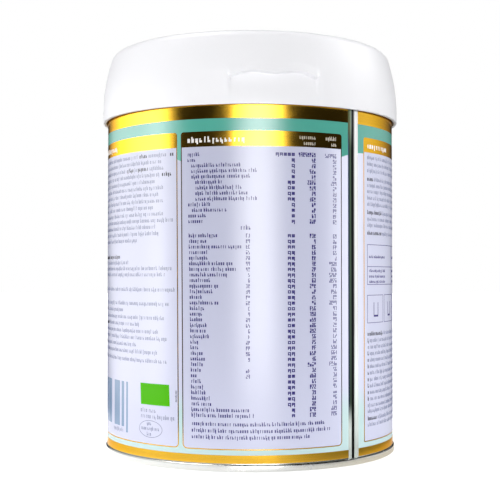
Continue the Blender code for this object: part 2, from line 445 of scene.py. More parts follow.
def make_materials():
    """Every material of the tin, by its plain name."""
    tones = colours()
    make_sheet_group()
    make_grain_group()
    return {
        "white": make_white_print(),
        "panel": make_ink("Panel white", tones.white, WHITE_GRAIN, roughness=WHITE_ROUGHNESS),
        "mint": make_ink("Mint ink", tones.mint, 0.1, varnish=THICK_VARNISH_IOR),
        "gold": make_gold_ink(),
        "navy": make_ink("Navy ink", tones.navy),
        "grey": make_ink("Grey ink", tones.grey),
        "bright": make_ink("White ink", (0.92, 0.92, 0.94), 0.05),
        "dim": make_ink("Thin white ink", (0.50, 0.48, 0.44), 0.05),
        "green": make_ink("Green ink", tones.green, 0.1, coat=0.15),
        "dark": make_ink("Dark ink", tones.dark),
        "mist": make_ink("Mist ink", tones.mist, 0.1),
        "tinplate": make_tinplate(),
        "seam": make_seam_metal(),
        "plastic": make_plastic(),
    }


MATERIALS = {}


def material(key):
    if not MATERIALS:
        MATERIALS.update(make_materials())
    return MATERIALS[key]


# Modelling


def deselect():
    for obj in list(bpy.context.selected_objects):
        obj.select_set(False)


def pick(obj):
    """Makes obj the only selected object, and the active one."""
    deselect()
    obj.select_set(True)
    bpy.context.view_layer.objects.active = obj


@contextmanager
def editing(obj):
    """Opens one object in edit mode with all of it selected, and closes it again."""
    pick(obj)
    bpy.ops.object.mode_set(mode="EDIT")
    bpy.ops.mesh.select_all(action="SELECT")
    yield
    bpy.ops.object.mode_set(mode="OBJECT")


def select_where(obj, test, mode):
    """In edit mode, selects the vertices or faces whose place passes the test."""
    bpy.ops.mesh.select_mode(type=mode)
    bpy.ops.mesh.select_all(action="DESELECT")
    bpy.ops.object.mode_set(mode="OBJECT")
    for vert in obj.data.vertices if mode == "VERT" else ():
        vert.select = test(vert.co)
    for face in obj.data.polygons if mode == "FACE" else ():
        face.select = test(face.center)
    bpy.ops.object.mode_set(mode="EDIT")


def cut_upright(x):
    """In edit mode, cuts the whole mesh at one place along the sheet."""
    bpy.ops.mesh.select_all(action="SELECT")
    bpy.ops.mesh.bisect(plane_co=(x, 0.0, 0.0), plane_no=(1.0, 0.0, 0.0))


def apply_modifier(obj, kind, **settings):
    pick(obj)
    modifier = obj.modifiers.new(kind.title(), kind)
    for key, value in settings.items():
        setattr(modifier, key, value)
    bpy.ops.object.modifier_apply(modifier=modifier.name)


def round_length():
    return 2 * math.pi * sizes().radius


def wrapped(x, out, z):
    """The place on the tin of a point of the flat sheet."""
    turn = x / sizes().radius
    radius = sizes().radius + out
    return Vector((radius * math.sin(turn), -radius * math.cos(turn), z))


def call_it(obj, name):
    obj.name = name
    obj.data.name = name


def flat_sheet(name, left, right, low, high, columns=1):
    """A flat upright sheet that faces the front."""
    deselect()
    place = ((left + right) / 2, 0.0, (low + high) / 2)
    bpy.ops.mesh.primitive_grid_add(
        x_subdivisions=columns, y_subdivisions=1, size=1.0, location=place, rotation=(math.pi / 2, 0, 0)
    )
    sheet = bpy.context.object
    call_it(sheet, name)
    sheet.scale = (right - left, high - low, 1.0)
    bpy.ops.object.transform_apply(location=True, rotation=True, scale=True)
    return sheet


def round_corners(sheet, test, radius):
    with editing(sheet):
        select_where(sheet, test, "VERT")
        bpy.ops.mesh.bevel(offset=radius, segments=6, affect="VERTICES")


COLUMN = 1.6 * MM
BURIED = 0.06 * MM


def cut_columns(sheet):
    """Cuts a flat sheet into upright columns, so that it can follow the wall."""
    xs = [vert.co.x for vert in sheet.data.vertices]
    low, high = min(xs), max(xs)
    steps = math.ceil((high - low) / COLUMN)
    with editing(sheet):
        for step in range(1, steps):
            cut_upright(low + (high - low) * step / steps)


def finish_piece(piece, key, angle=30.0):
    """Smooths a piece, gives it its material and slot, and rides it on the tin."""
    pick(piece)
    bpy.ops.object.shade_smooth_by_angle(angle=math.radians(angle))
    piece.data.materials.clear()
    piece.data.materials.append(material(key))
    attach(piece, "root")


def wrap_sheet(sheet, lift, key):
    """Wraps a flat sheet round the wall and gives it a thickness, so that its face
    stands lift over the wall and its back is buried in it."""
    for vert in sheet.data.vertices:
        vert.co = wrapped(vert.co.x, lift - vert.co.y, vert.co.z)
    apply_modifier(sheet, "SOLIDIFY", thickness=lift + BURIED, offset=-1.0)
    finish_piece(sheet, key)


def spin_profile(name, profile, start, sectors):
    """A closed body turned from a profile of (radius, height). Each sector is
    (degrees, steps), and they follow each other all round from start."""
    turn = math.radians(start)
    mesh = bpy.data.meshes.new(name)
    points = [(r * math.sin(turn), -r * math.cos(turn), z) for r, z in profile]
    mesh.from_pydata(points, [(i, i + 1) for i in range(len(points) - 1)], [])
    body = bpy.data.objects.new(name, mesh)
    bpy.context.scene.collection.objects.link(body)
    with editing(body):
        for degrees, steps in sectors:
            bpy.ops.mesh.spin(
                steps=steps, angle=-math.radians(degrees), center=(0, 0, 0), axis=(0, 0, 1)
            )
        bpy.ops.mesh.select_all(action="SELECT")
        bpy.ops.mesh.remove_doubles(threshold=MM / 200)
        bpy.ops.mesh.normals_make_consistent(inside=False)
    return body


def in_metres(*points):
    return [(radius * MM, height * MM) for radius, height in points]


def arc_points(centre_r, centre_z, radius, start, end, steps):
    """Points of an arc in (radius, height), its angles measured from +radius."""
    angles = [math.radians(start + (end - start) * i / steps) for i in range(steps + 1)]
    return [(centre_r + radius * math.cos(a), centre_z + radius * math.sin(a)) for a in angles]


def smooth_share(value, low, high):
    share = min(max((value - low) / (high - low), 0.0), 1.0)
    return share * share * (3 - 2 * share)


WALL_STEPS = 288
BASE_SHEET = 0.6 * MM
GAP = 0.3 * MM
GROOVE_RADIUS = 62.1 * MM
BASE_TOP = 4.4 * MM + BASE_SHEET


class TIN_OT_wall(bpy.types.Operator):
    """Model the round wall, with the white print's ground on it"""

    bl_idname = "tin.wall"
    bl_label = "Wall"

    def execute(self, context):
        size = sizes()
        low = size.rim_height + GAP
        inner = GROOVE_RADIUS + BASE_SHEET + GAP
        profile = [(0.0, size.wall_top), (size.radius - 0.5 * MM, size.wall_top)]
        profile += [(size.radius, size.wall_top - 0.5 * MM), (size.radius, low)]
        profile += [(inner, low), (inner, BASE_TOP + GAP), (0.0, BASE_TOP + GAP)]
        wall = spin_profile("wall", profile, 0.0, [(360.0, WALL_STEPS)])
        finish_piece(wall, "white", 40.0)
        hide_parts("tin_wall")
        return {"FINISHED"}


class TIN_OT_seam(bpy.types.Operator):
    """Model the bare side seam, where one edge of the sheet laps the other"""

    bl_idname = "tin.seam"
    bl_label = "Side seam"

    # Each is a share of the strip's width and of its rise.
    LAP = [(0.0, 0.10), (0.05, 0.12), (0.10, 0.16), (0.18, 0.45), (0.26, 0.72), (0.34, 0.90)]
    LAP += [(0.42, 1.0), (0.54, 1.0), (0.60, 0.42), (0.68, 0.38), (0.84, 0.26), (1.0, 0.10)]

    def execute(self, context):
        size = sizes()
        low = size.rim_height + 0.05 * MM
        high = lid_sizes().edge + 3.0 * MM
        width = size.strip_end - size.strip_start
        strip = flat_sheet("side_seam", size.strip_start, size.strip_end, low, high)
        with editing(strip):
            for share, _ in self.LAP[1:-1]:
                cut_upright(size.strip_start + width * share)
        for vert in strip.data.vertices:
            share = (vert.co.x - size.strip_start) / width
            near = min(self.LAP, key=lambda pair: abs(pair[0] - share))
            vert.co.y = -size.strip_rise * near[1]
        wrap_sheet(strip, 0.0, "seam")
        return {"FINISHED"}


class TIN_OT_base(bpy.types.Operator):
    """Model the base end with its rolled double seam and pressed rings"""

    bl_idname = "tin.base"
    bl_label = "Base end"

    # The foot and the underside from the seam to the middle, as (radius, height) in mm.
    FOOT = [(63.5, 0.0), (62.7, 0.0), (62.5, 0.18), (62.4, 0.6), (62.3, 2.0), (62.1, 3.8)]
    UNDER = [(61.9, 4.25), (61.5, 4.4), (59.7, 4.4), (59.2, 4.2), (58.7, 3.6), (58.2, 3.4)]
    UNDER += [(48.7, 3.4), (48.2, 3.25), (47.8, 2.85), (47.3, 2.7), (44.7, 2.7), (44.2, 2.85)]
    UNDER += [(43.8, 3.25), (43.3, 3.4), (30.0, 3.4), (29.4, 3.3), (28.6, 3.0), (28.0, 2.9)]
    UNDER += [(0.0, 2.9)]

    def execute(self, context):
        size = sizes()
        bend = 0.6 * MM
        centre = size.rim_radius - bend
        inner = GROOVE_RADIUS + BASE_SHEET
        profile = [(0.0, BASE_TOP), (inner, BASE_TOP), (inner, size.rim_height)]
        profile += arc_points(centre, size.rim_height - bend, bend, 90, 0, 8)
        profile += arc_points(centre, bend, bend, 0, -80, 8)
        profile += in_metres(*self.FOOT, *self.UNDER)
        base = spin_profile("base_seam", profile, 0.0, [(360.0, WALL_STEPS)])
        finish_piece(base, "tinplate", 40.0)
        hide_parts("base_end")
        return {"FINISHED"}


# Lid relief, with the same shape as the solid lid

CURVE_START = 148.0 * MM
CURVE = 6.5
SHOULDER_START = 171.0 * MM
GRIP_CENTRE = 8.6
GRIP_HALF = 16.6
GRIP_SIDE = 1.4
GRIP_HUMP = 0.9 * MM
GRIP_FALL = 2.0 * MM
GRIP_DEPTH = 1.5 * MM
GRIP_DEPTH_AT_EDGE = 0.5 * MM
BROW_BEND = (1.5 * MM, 7.0 * MM)
BROW_LOW = 0.25 * MM
BROW_HIGH = 0.35 * MM
PAD_RISE = 0.4 * MM
PAD_TOP = 164.0 * MM
LIP_RISE = 0.4 * MM
LIP = (157.6 * MM, 160.4 * MM)
DISH_CENTRE = 3.2
DISH_HALF = 27.0
DISH_FADE = 4.5
DISH_DEPTH = 0.45 * MM
DISH = (154.0 * MM, 158.5 * MM)
FRONT_HALF = 33.0
SKIN_DEPTH = 0.7 * MM  # how far under its side the lid's relief reaches
SLIT_ANGLE = -12.5
SLIT = (145.8 * MM, 151.6 * MM)
SLIT_WIDTH = 0.35 * MM
SLIT_DEPTH = 0.55 * MM


def lid_radius(height):
    over = max(height - CURVE_START, 0.0)
    return lid_sizes().radius - CURVE * over * over


def brow_shift(angle):
    """Two low humps that fall away at the brow's ends."""
    place = min(max((angle - GRIP_CENTRE) / GRIP_HALF, -1.0), 1.0)
    return GRIP_HUMP * math.sin(math.pi * place) ** 2 - GRIP_FALL * place**4


def grip_share(angle):
    return 1 - smooth_share(abs(angle - GRIP_CENTRE), GRIP_HALF - GRIP_SIDE, GRIP_HALF)


def grip_relief(angle, height):
    """Outward relief of the lid's front: the pad is proud, the hollow sunk."""
    brow = lid_sizes().grip_height
    share = grip_share(angle)
    across = 1 - smooth_share(abs(angle - DISH_CENTRE), DISH_HALF - DISH_FADE, DISH_HALF)
    dish = DISH_DEPTH * across * (1 - smooth_share(height, *DISH)) * (1 - share)
    pad = PAD_RISE * (1 - smooth_share(height, brow, PAD_TOP))
    pad += LIP_RISE * (1 - smooth_share(height, *LIP))
    deeper = smooth_share(height, lid_sizes().edge, brow)
    sunk = -(GRIP_DEPTH_AT_EDGE + (GRIP_DEPTH - GRIP_DEPTH_AT_EDGE) * deeper)
    step = smooth_share(height, brow - BROW_LOW, brow + BROW_HIGH)
    return (sunk + (pad - sunk) * step) * share - dish


def lid_rows():
    """Heights of the lid's rows, closest together beside the brow."""
    brow = lid_sizes().grip_height / MM
    rows = [170.2 - 0.8 * i for i in range(13)]
    rows += [160.2 - 0.4 * i for i in range(9)]
    rows += [brow + offset / 10 for offset in (6, 4, 3, 2, 1, 0, -1, -2, -3, -5)]
    rows += [155.2, 154.6, 153.8]
    rows += [153.0 - 0.8 * i for i in range(11)]
    return [row * MM for row in rows]


def shape_lid(lid):
    """Moves the lid's front to form the grip, bending its rows along the brow."""
    brow = lid_sizes().grip_height
    for vert in lid.data.vertices:
        x, y, height = vert.co
        radius = math.hypot(x, y)
        if height > SHOULDER_START - GAP or radius < lid_radius(height) - SKIN_DEPTH:
            continue
        angle = math.degrees(math.atan2(x, -y))
        stretch = (radius + grip_relief(angle, height)) / radius
        bend = 1 - smooth_share(abs(height - brow), *BROW_BEND)
        rise = brow_shift(angle) * bend * grip_share(angle)
        vert.co = (x * stretch, y * stretch, height + rise)


def cut_slit(lid):
    """Cuts the slit beside the grip."""
    deselect()
    turn = math.radians(SLIT_ANGLE)
    radius = lid_sizes().radius
    place = (radius * math.sin(turn), -radius * math.cos(turn), sum(SLIT) / 2)
    bpy.ops.mesh.primitive_cube_add(size=1.0, location=place, rotation=(0, 0, turn))
    cutter = bpy.context.object
    cutter.scale = (SLIT_WIDTH, 2 * SLIT_DEPTH, SLIT[1] - SLIT[0])
    bpy.ops.object.transform_apply(location=True, rotation=True, scale=True)
    apply_modifier(lid, "BOOLEAN", operation="DIFFERENCE", object=cutter)
    bpy.data.objects.remove(cutter, do_unlink=True)


class TIN_OT_lid(bpy.types.Operator):
    """Model the white lid with its thumb grip, slit and stacking recess"""

    bl_idname = "tin.lid"
    bl_label = "Lid"

    def execute(self, context):
        size = lid_sizes()
        lean = math.atan(2 * CURVE * (SHOULDER_START - CURVE_START))
        radius = (size.top - SHOULDER_START) / (1 - math.sin(lean))
        centre = lid_radius(SHOULDER_START) - radius * math.cos(lean)
        floor = size.top - 1.2 * MM
        profile = [(0.0, floor - 0.25 * MM), (2.2 * MM, floor - 0.25 * MM)]
        profile += [(2.6 * MM, floor), (53.7 * MM, floor), (54.2 * MM, floor + 0.08 * MM)]
        profile += [(54.6 * MM, floor + 0.35 * MM), (55.0 * MM, size.top - 0.35 * MM)]
        profile += [(55.4 * MM, size.top - 0.06 * MM), (55.9 * MM, size.top)]
        profile += arc_points(centre, size.top - radius, radius, 90, math.degrees(lean), 14)
        profile += [(lid_radius(z), z) for z in lid_rows()]
        outer, inner = 0.4 * MM, 0.2 * MM
        profile += arc_points(size.radius - outer, size.edge + outer, outer, 0, -90, 5)
        profile += arc_points(size.skirt + inner, size.edge + inner, inner, 270, 180, 3)
        profile += [(size.skirt, WALL_TOP + GAP), (0.0, WALL_TOP + GAP)]
        front = (2 * FRONT_HALF, size.front_steps)
        back = (360.0 - 2 * FRONT_HALF, size.back_steps)
        lid = spin_profile("cap_lid", profile, DISH_CENTRE - FRONT_HALF, [front, back])
        shape_lid(lid)
        cut_slit(lid)
        finish_piece(lid, "plastic", 50.0)
        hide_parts("lid")
        return {"FINISHED"}


# Print

MINT_LIFT = 0.02 * MM
PANEL_LIFT = 0.04 * MM
MARK_LIFT = 0.07 * MM
BAND_COLUMNS = 264
WAVES_ROUND = 4
WAVE_MIDDLE = 119.5 * MM
WAVE_RISE = 7.4 * MM
WAVE_START = 2.5 * MM
PANELS = {
    "left": (-97.0 * MM, -30.2 * MM),
    "centre": (-28.5 * MM, 39.4 * MM),
    "right": (52.4 * MM, 119.6 * MM),
    "face": (123.0 * MM, 226.0 * MM),
    "back": (229.4 * MM, 299.0 * MM),
}


def wave_height(arc):
    """The height of the mint field's lower edge, four even waves round the tin."""
    turn = 2 * math.pi * WAVES_ROUND / round_length()
    return WAVE_MIDDLE - WAVE_RISE * math.cos(turn * (arc - WAVE_START))


class TIN_OT_bands(bpy.types.Operator):
    """Print the gold bands and the mint field, open at the side seam"""

    bl_idname = "tin.bands"
    bl_label = "Bands"

    def execute(self, context):
        layout = print_sizes()
        ends = (sizes().strip_end - round_length(), sizes().strip_start)
        high = lid_sizes().edge + 3.0 * MM
        top = flat_sheet("gold_band_top", *ends, layout.gold_low, high, BAND_COLUMNS)
        wrap_sheet(top, PANEL_LIFT, "gold")
        low = layout.foot_low + 0.45 * MM
        foot = flat_sheet("gold_band_foot", *ends, low, layout.foot_high, BAND_COLUMNS)
        wrap_sheet(foot, PANEL_LIFT, "gold")
        low = layout.mint_low
        field = flat_sheet("mint_field", *ends, low, layout.gold_low, BAND_COLUMNS * 2)
        for vert in field.data.vertices:
            if vert.co.z < low + 0.1 * MM:
                vert.co.z = wave_height(vert.co.x)
        wrap_sheet(field, MINT_LIFT, "mint")
        return {"FINISHED"}


LEAN_SHARE = 0.0085
TOP_CORNER = 0.6  # a top corner's radius as a share of the panels' own
RIGHT_CORNER = 0.42  # the same for the right panel's foot


def drift(x, z):
    """How far the print left of the table's middle has drifted towards the foot."""
    share = 1 - smooth_share(x, -20.0 * MM, 30.0 * MM)
    return LEAN_SHARE * (print_sizes().mint_low - z) * share


def make_panel(name, left, right, header):
    """A rounded panel: a gold line and header in one piece, its white in another."""
    layout = print_sizes()
    low, high = layout.panel_low, layout.mint_low
    outline = flat_sheet(name + "_frame", left, right, low, high)
    middle = (low + high) / 2
    foot_corner = layout.corner * (RIGHT_CORNER if name == "panel_right" else 1.0)
    round_corners(outline, lambda co: co.z > middle, layout.corner * TOP_CORNER)
    round_corners(outline, lambda co: co.z < middle, foot_corner)
    centre = (left + right) / 2
    split = layout.header_low if header else high
    under = low + layout.line * 2
    with editing(outline):
        bpy.ops.mesh.inset(thickness=layout.line)
        if header:
            bpy.ops.mesh.bisect(plane_co=(0, 0, layout.header_low), plane_no=(0, 0, 1))
        select_where(
            outline, lambda co: abs(co.x - centre) < layout.line and under < co.z < split, "FACE"
        )
        bpy.ops.mesh.separate(type="SELECTED")
    body = next(o for o in bpy.context.selected_objects if o is not outline)
    call_it(body, name + "_white")
    for sheet, key in ((outline, "gold"), (body, "panel")):
        cut_columns(sheet)
        for vert in sheet.data.vertices:
            vert.co.x += drift(vert.co.x, vert.co.z)
        wrap_sheet(sheet, PANEL_LIFT, key)


class TIN_OT_panels(bpy.types.Operator):
    """Print the rounded panels with their gold lines and headers"""

    bl_idname = "tin.panels"
    bl_label = "Panels"

    def execute(self, context):
        for name, (left, right) in PANELS.items():
            make_panel("panel_" + name, left, right, name != "face")
        return {"FINISHED"}


SIGN_SHARE = 0.64  # a sign's width as a share of the step from sign to sign
FIGURE_SHARE = 0.76  # the same for the signs of the table's right-hand columns
ROW_STEP = 0.79  # the step from sign to sign as a share of a low sign's height
FIGURE_STEP = 0.58  # the same for those columns
TALL = 1.42  # a tall upright's height as a share of a low one's
TAIL = 0.38  # how far a tailed upright drops, as the same share
SPACE = 0.55  # the gap between two groups of signs, as a share of a step


class Marks:
    """Printed strokes, stamped from one thin upright block and joined in one piece.
    Their places and sizes are in millimetres of the flat sheet."""

    def __init__(self, name, key, rng):
        self.name = name
        self.key = key
        self.rng = rng
        self.points = []
        self.faces = []
        deselect()
        bpy.ops.mesh.primitive_cube_add(size=1.0)
        block = bpy.context.object
        self.block_points = [tuple(vert.co) for vert in block.data.vertices]
        self.block_faces = [list(face.vertices) for face in block.data.polygons]
        bpy.data.objects.remove(block, do_unlink=True)

    def stamp(self, left, right, low, high):
        """One stroke between two arcs and two heights."""
        start = len(self.points)
        for x, y, z in self.block_points:
            arc = left + (right - left) * (x + 0.5)
            height = low + (high - low) * (z + 0.5)
            out = MARK_LIFT if y < 0 else -BURIED
            self.points.append(wrapped(arc * MM, out, height * MM))
        self.faces += [[start + index for index in face] for face in self.block_faces]

    def bar(self, left, right, low, high):
        """A wide stroke, cut in columns so that it follows the wall."""
        steps = max(1, math.ceil((right - left) * MM / COLUMN))
        for step in range(steps):
            start = left + (right - left) * step / steps
            end = left + (right - left) * (step + 1) / steps
            self.stamp(start, end, low, high)

    def box(self, left, right, low, high, line):
        """The four lines of a box."""
        self.bar(left, right, low, low + line)
        self.bar(left, right, high - line, high)
        self.stamp(left, left + line, low + line, high - line)
        self.stamp(right - line, right, low + line, high - line)

    def sign(self, x, base, step, height, stroke):
        """One abstract sign: an upright or two, some tall or tailed, with ticks."""
        rng = self.rng
        right = x + step * SIGN_SHARE
        high = base + height * (TALL if rng.random() < 0.25 else 1.0)
        low = base - height * TAIL if rng.random() < 0.12 else base
        kind = rng.random()
        if kind < 0.25:
            middle = x + step * 0.2
            self.stamp(middle, middle + stroke, low, high)
            if kind < 0.12:
                self.stamp(middle, right, base + height - stroke, base + height)
            return
        self.stamp(x, x + stroke, base, high)
        self.stamp(right - stroke, right, low, base + height * rng.choice((0.55, 1, 1)))
        for share in rng.sample((0.0, 0.4, 0.84), 1 if rng.random() < 0.55 else 2):
            tick = base + height * share
            self.stamp(x + stroke, right - stroke, tick, tick + stroke * 0.8)

    def figure(self, x, base, step, height, stroke):
        """One abstract column sign: halves of uprights with ticks between them."""
        rng = self.rng
        right = x + step * FIGURE_SHARE
        sides = [(side, half) for side in (x, right - stroke) for half in (0.0, 0.5)]
        for side, half in rng.sample(sides, rng.choice((2, 3))):
            low = base + height * half
            self.stamp(side, side + stroke, low, base + height * (half + 0.5))
        for share in rng.sample((0.0, 0.44, 0.88), rng.choice((1, 2, 2))):
            tick = base + height * share
            self.stamp(x, right, tick, tick + stroke * 0.8)

    def unit(self, x, base, width, height, stroke):
        """One wide bold sign: two or three uprights under or over a tick."""
        rng = self.rng
        for share in (0.0, 0.5, 1.0) if rng.random() < 0.5 else (0.0, 1.0):
            side = x + (width - stroke) * share
            drop = height * 0.35 if share == 1.0 and rng.random() < 0.5 else 0.0
            self.stamp(side, side + stroke, base - drop, base + height)
        for tick in (base + height - stroke, base + rng.choice((0.0, 0.3)) * height):
            self.stamp(x + stroke, x + width - stroke, tick, tick + stroke)

    def row(self, start, end, middle, size, stroke, words=(3, 9), step=ROW_STEP):
        """A row of groups of signs, from start towards end. The size is a low sign's
        height, and words the least and most signs in a group."""
        advance = size * step
        x = start
        last = end - advance * SIGN_SHARE + 0.01
        while x <= last:
            for _ in range(self.rng.randint(*words)):
                if x > last:
                    break
                self.sign(x, middle - size / 2, advance, size, stroke)
                x += advance
            x += advance * SPACE

    def figures(self, end, count, middle, size, stroke):
        """A short group of column signs that ends at the column's right edge."""
        advance = size * FIGURE_STEP
        for index in range(count):
            x = end - advance * (index + FIGURE_SHARE)
            self.figure(x, middle - size / 2, advance, size, stroke)

    def make(self):
        mesh = bpy.data.meshes.new(self.name)
        mesh.from_pydata(self.points, [], self.faces)
        mesh.update()
        piece = bpy.data.objects.new(self.name, mesh)
        bpy.context.scene.collection.objects.link(piece)
        finish_piece(piece, self.key)


def stroke_width():
    return print_sizes().stroke / MM


# The print's rows, in mm

ROW_SIZE = 1.14
FIGURE_SIZE = 1.62
MARGIN_LEAN = 0.019  # how far the table's margin drifts to the right towards the foot
TABLE_TOP = 124.5
TABLE_PITCH = 2.205
NAME_LEFT = -25.5
INDENT = 1.6
PERCENT_RIGHT = -0.05
UNIT_RIGHT = 17.9
VALUE_RIGHT = 26.8
LAST_RIGHT = 36.6
UNIT_STEP = 1.62
UNIT_SHARE = 0.80
GAP_ROW = 13
GAP_BEFORE = 0.22  # the gap over and under that row, as shares of the rows' pitch
GAP_AFTER = 0.35
GAP_WORD = (-3.8, 1.4)

# Each row is (indent, signs in its name, in the share, unit, value and last column).
ROWS = (
    (0, 6, 0, 5, 8, 6), (0, 4, 0, 1, 2, 2), (1, 23, 0, 1, 2, 2), (1, 30, 0, 1, 3, 2),
    (1, 27, 0, 1, 2, 2), (2, 13, 0, 2, 4, 3), (2, 21, 0, 2, 3, 2), (2, 24, 0, 2, 2, 2),
    (2, 28, 0, 2, 3, 2), (0, 11, 0, 1, 2, 2), (1, 16, 0, 1, 2, 2), (0, 9, 0, 1, 2, 2),
    (0, 7, 0, 1, 3, 2), (0, 0, 0, 0, 0, 0), (0, 14, 2, 2, 3, 2), (0, 9, 2, 2, 1, 2),
    (0, 24, 2, 2, 2, 2), (0, 9, 2, 2, 2, 2), (0, 9, 2, 2, 2, 1), (0, 20, 2, 2, 2, 4),
    (0, 22, 2, 2, 2, 3), (0, 18, 1, 2, 2, 4), (0, 10, 1, 2, 2, 4), (0, 14, 2, 2, 3, 2),
    (0, 11, 2, 2, 2, 3), (0, 6, 2, 2, 2, 2), (0, 14, 2, 2, 2, 4), (0, 7, 1, 2, 3, 2),
    (0, 6, 1, 2, 3, 2), (0, 6, 2, 2, 3, 2), (0, 8, 2, 2, 3, 2), (0, 8, 1, 2, 3, 2),
    (0, 9, 1, 2, 2, 2), (0, 4, 2, 2, 2, 2), (0, 4, 2, 2, 2, 3), (0, 6, 2, 2, 3, 3),
    (0, 7, 1, 2, 2, 3), (0, 6, 0, 2, 4, 4), (0, 5, 2, 2, 2, 2), (0, 3, 2, 2, 3, 2),
    (0, 6, 0, 2, 2, 2), (0, 6, 0, 2, 3, 2), (0, 8, 0, 2, 2, 2), (0, 10, 0, 2, 2, 2),
    (0, 10, 0, 2, 2, 2), (0, 27, 0, 1, 3, 3), (0, 28, 0, 1, 3, 3),
)
# Each note under the table is (height, end).
NOTES = ((18.5, 31.3), (15.9, 33.8), (13.4, 24.4))


def margin(z):
    """The table's left margin, which leans a little as the sheet was rolled."""
    return NAME_LEFT + MARGIN_LEAN * (TABLE_TOP - z)


class TIN_OT_table(bpy.types.Operator):
    """Print the centre panel's table as rows of abstract strokes"""

    bl_idname = "tin.table"
    bl_label = "Table rows"

    def execute(self, context):
        stroke = stroke_width()
        bold = stroke * 1.3
        width = UNIT_STEP * UNIT_SHARE
        rows = Marks("table_rows", "navy", random.Random(7))
        z = TABLE_TOP
        for index, (indent, name, share, unit, value, last) in enumerate(ROWS):
            if index == GAP_ROW:
                z -= TABLE_PITCH * GAP_BEFORE
                rows.row(*GAP_WORD, z, ROW_SIZE * 1.2, bold)
            left = margin(z) + indent * INDENT
            if name:
                right = left + name * ROW_SIZE * ROW_STEP
                rows.row(left, right, z, ROW_SIZE, stroke, (4, 11))
            rows.figures(PERCENT_RIGHT, share, z, FIGURE_SIZE * 0.93, bold)
            for sign in range(unit):
                x = UNIT_RIGHT - UNIT_STEP * (sign + UNIT_SHARE)
                rows.unit(x, z - ROW_SIZE * 0.55, width, ROW_SIZE * 1.1, stroke * 1.5)
            rows.figures(VALUE_RIGHT, value, z, FIGURE_SIZE, stroke * 1.55)
            rows.figures(LAST_RIGHT, last, z, FIGURE_SIZE, stroke)
            z -= TABLE_PITCH * (1 + GAP_AFTER if index == GAP_ROW else 1)
        for z, end in NOTES:
            rows.row(margin(z), end, z, ROW_SIZE, stroke, (2, 10))
        rows.make()
        return {"FINISHED"}


HEAD_MIDDLE = 130.3
HEAD_SIZE = 1.6
HEADS = ((-25.5, -1.0), (-92.5, -67.6), (55.0, 74.0), (233.0, 262.0))


class TIN_OT_headings(bpy.types.Operator):
    """Print the panel headings as white strokes on the gold"""

    bl_idname = "tin.headings"
    bl_label = "Headings"

    def execute(self, context):
        rng = random.Random(11)
        stroke = stroke_width()
        heads = Marks("headings", "bright", rng)
        for left, right in HEADS:
            heads.row(left, right, HEAD_MIDDLE - 0.2, HEAD_SIZE, stroke * 2, (14, 17), 1.07)
        heads.make()
        small = Marks("small_headings", "dim", rng)
        for right, counts in ((VALUE_RIGHT, (8, 6)), (LAST_RIGHT, (6, 3))):
            for line, count in enumerate(counts):
                middle = HEAD_MIDDLE + 1.0 - 2.3 * line
                start = right - ROW_SIZE * ROW_STEP * (count - 1 + SIGN_SHARE)
                small.row(start, right, middle, ROW_SIZE, stroke * 0.9, (9, 9))
        small.make()
        return {"FINISHED"}


def print_column(marks, bolds, left, entries, size, stroke):
    """Rows of a side panel. Each entry is (height, end, bold spans), with the end and
    the spans measured from the column's left edge."""
    space = size * 0.5
    for height, end, spans in entries:
        x = left
        for first, last in spans:
            marks.row(x, left + first - space, height, size, stroke, (2, 11))
            x = left + last
            bolds.row(left + first, x, height, size, stroke * 1.6, (14, 14))
            x += space
        marks.row(x, left + end, height, size, stroke, (2, 11))


def lead(signs):
    """One bold span of so many signs at the start of a row."""
    return ((0.0, signs * 0.96),)


def left_entries():
    """The left panel's rows: a block, then short paragraphs under bold leads."""
    block = [(61.7, ((42.7, 47.6), (59.5, 61.7))), (55.8, ())]
    block += [(57.0, ((33.9, 38.5), (41.5, 48.2))), (60.8, ((55.5, 60.8),))]
    ends = (51.7, 56.7, 54.4, 56.1, 51.0, 56.1, 61.1, 52.1, 53.7, 41.3)
    block += [(end, ()) for end in ends]
    rows = [(125.2 - 2.63 * i, *row) for i, row in enumerate(block)]
    rows += [(84.4, 28.6, ((0.0, 28.6),)), (82.0, 35.9, ()), (79.5, 60.4, ())]
    rows += [(77.0, 57.7, ()), (70.9, 62.0, ()), (65.2, 59.0, ())]
    rows += [(62.4, 31.0, lead(9)), (59.5, 57.0, ()), (56.7, 43.0, lead(14))]
    rows += [(53.9, 54.0, ()), (51.2, 58.5, ()), (48.3, 40.7, lead(8))]
    rows += [(45.5, 53.0, ()), (42.1, 58.0, ())]
    return rows


def right_entries(rng):
    """The right panel's rows, the numbered ones with a single bold sign."""
    rows = [(125.5, 58.9, ()), (122.75, 58.9, ()), (120.0, 40.3, ())]
    rows += [(116.5, 57.7, lead(5)), (113.9, 55.8, ()), (111.4, 58.9, ())]
    rows += [(108.7, 58.3, ()), (106.1, 43.4, ()), (102.7, 58.9, lead(13))]
    rows += [(100.0, 55.8, ()), (97.4, 44.6, ()), (94.2, 31.0, lead(13))]
    rows += [(52.5, 49.6, lead(14))]
    rows += [(49.8 - 2.66 * i, rng.uniform(49.6, 59.5), lead(1)) for i in range(10)]
    rows += [(23.2, 55.8, ()), (20.9, 57.7, ()), (17.8, 55.8, lead(8)), (15.3, 37.2, ())]
    return rows


